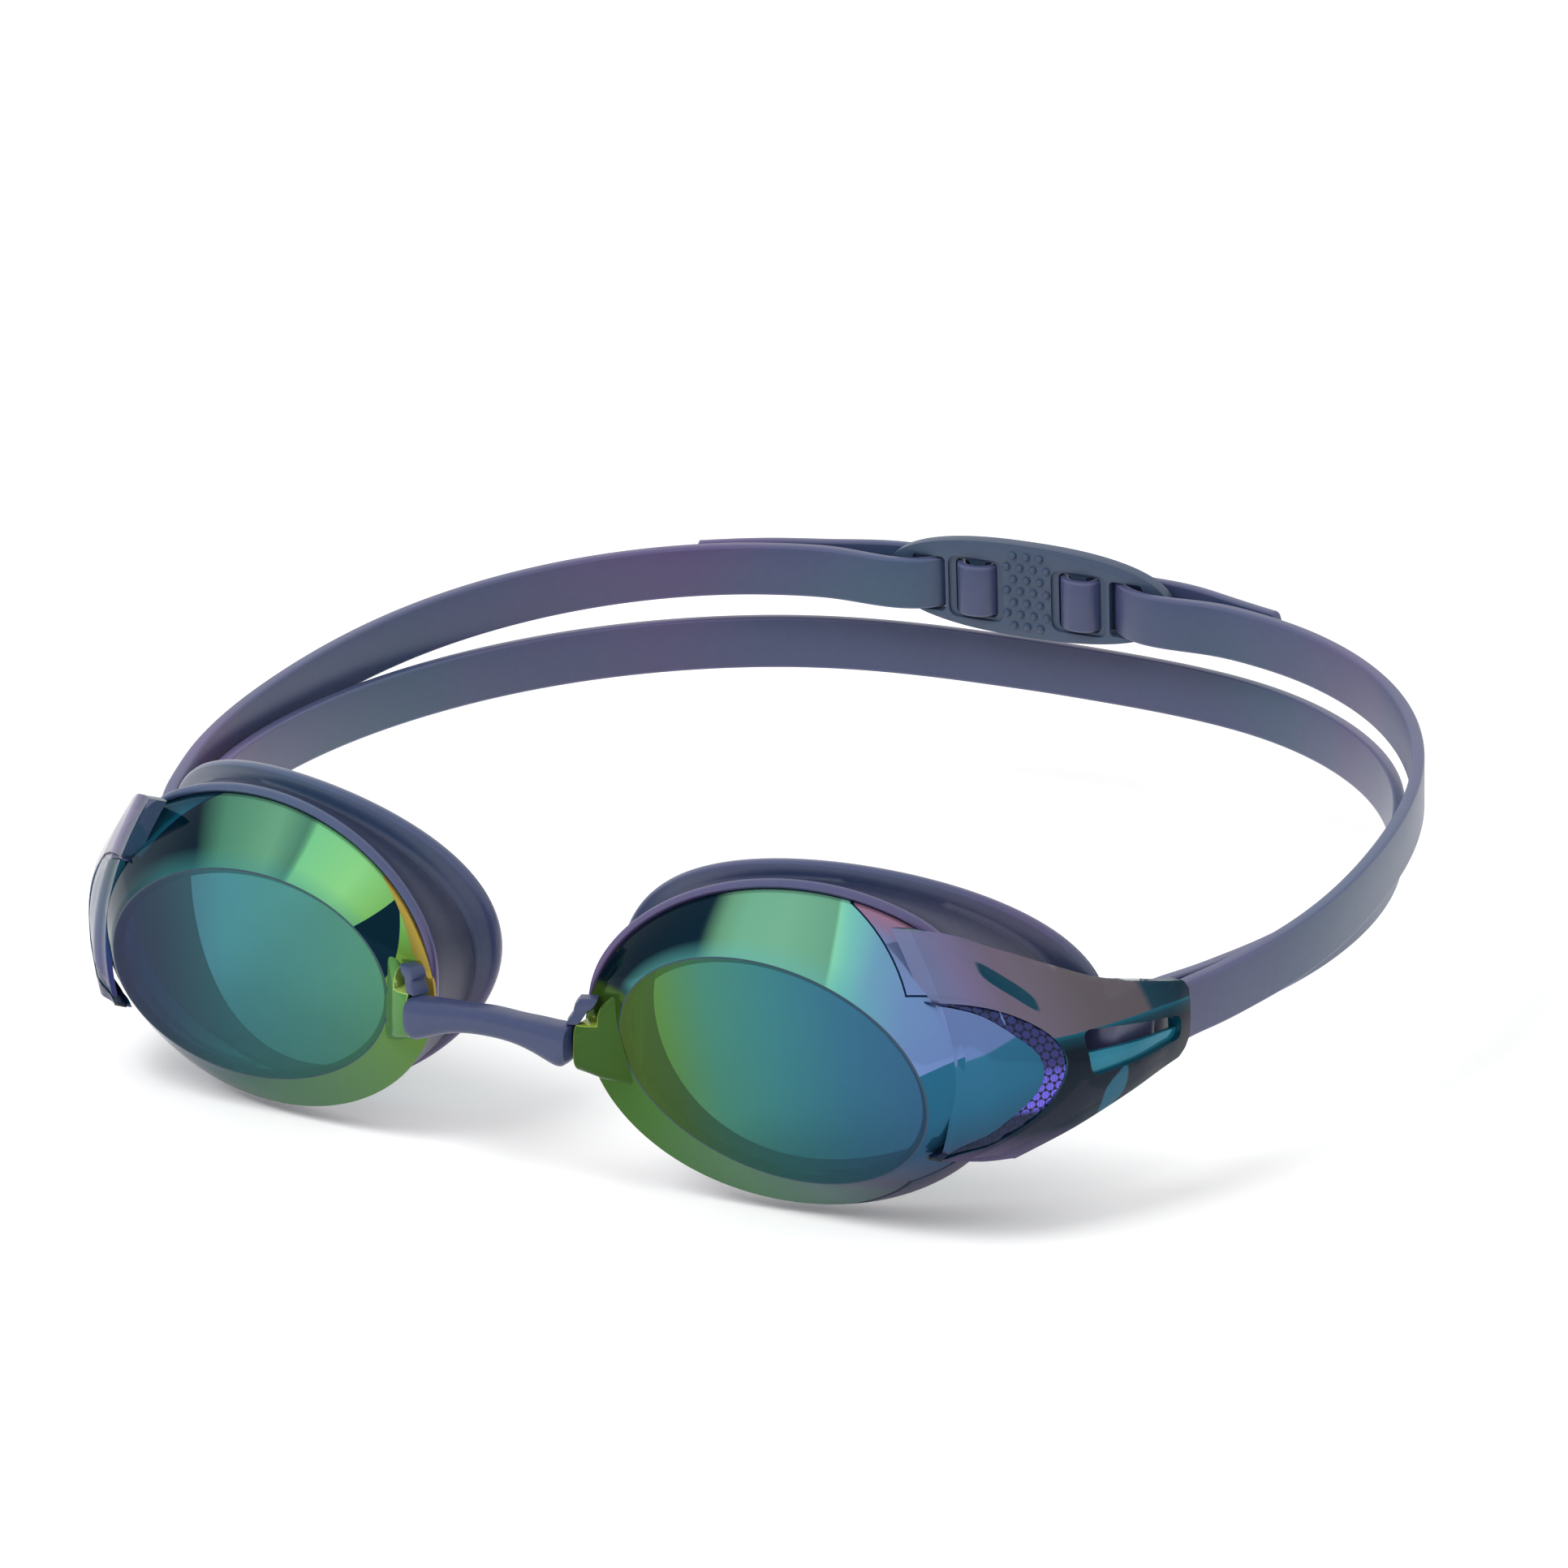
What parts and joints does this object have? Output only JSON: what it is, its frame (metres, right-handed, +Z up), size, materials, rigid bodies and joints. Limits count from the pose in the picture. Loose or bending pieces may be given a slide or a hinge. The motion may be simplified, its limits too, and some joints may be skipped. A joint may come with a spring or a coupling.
{
  "type": "swim goggles",
  "caption": "Swim goggles: mirrored lens cups with smoked temple wings and soft gaskets, a nose bridge, and a doubled strap held by a clip at the back.",
  "frame": {"origin": "midway between the eyes, on the plane through the middle of the two face seals", "axes": "+X to the wearer's left, +Y to the back of the head, +Z up"},
  "size_m": [0.1702, 0.1778, 0.0454],
  "materials": {
    "tinted_lens": "clear tinted plastic with a mirror coat",
    "smoked_wing": "clear smoked plastic",
    "patterned_trim": "printed film",
    "gasket_silicone": "soft satin",
    "strap_silicone": "pearl satin",
    "bridge_rubber": "satin",
    "clip_plastic": "matt"
  },
  "bodies": {
    "eyecups": {"left_lens": "tinted_lens", "right_lens": "tinted_lens", "left_temple_wing": "smoked_wing", "right_temple_wing": "smoked_wing", "left_pattern_trim": "patterned_trim", "right_pattern_trim": "patterned_trim", "left_gasket": "gasket_silicone", "right_gasket": "gasket_silicone", "left_strap_loop": "strap_silicone", "right_strap_loop": "strap_silicone"},
    "nose_bridge": {"nose_bridge": "bridge_rubber"},
    "upper_strap": {"left_upper_band": "strap_silicone", "right_upper_band": "strap_silicone", "back_clip": "clip_plastic"},
    "lower_strap": {"lower_band": "strap_silicone"},
    "left_tail": {"left_strap_tail": "strap_silicone"},
    "right_tail": {"right_strap_tail": "strap_silicone"}
  },
  "joints": [
    {"name": "nose_bridge_release", "type": "slide", "parent": "eyecups", "child": "nose_bridge", "axis": [0, -1, 0], "range_m": [0, 0.012]},
    {"name": "upper_strap_tilt", "type": "hinge", "parent": "eyecups", "child": "upper_strap", "pos_m": [0, 0.0206, 0.001], "axis": [1, 0, 0], "range_deg": [0, 35], "stiffness_Nm_per_rad": 0.3},
    {"name": "lower_strap_tilt", "type": "hinge", "parent": "eyecups", "child": "lower_strap", "pos_m": [0, 0.0206, 0.001], "axis": [1, 0, 0], "range_deg": [-30, 0], "stiffness_Nm_per_rad": 0.3},
    {"name": "left_tail_pull", "type": "slide", "parent": "upper_strap", "child": "left_tail", "axis": [1, 0, 0], "range_m": [0, 0.008]},
    {"name": "right_tail_pull", "type": "slide", "parent": "upper_strap", "child": "right_tail", "axis": [-1, 0, 0], "range_m": [0, 0.008]}
  ]
}
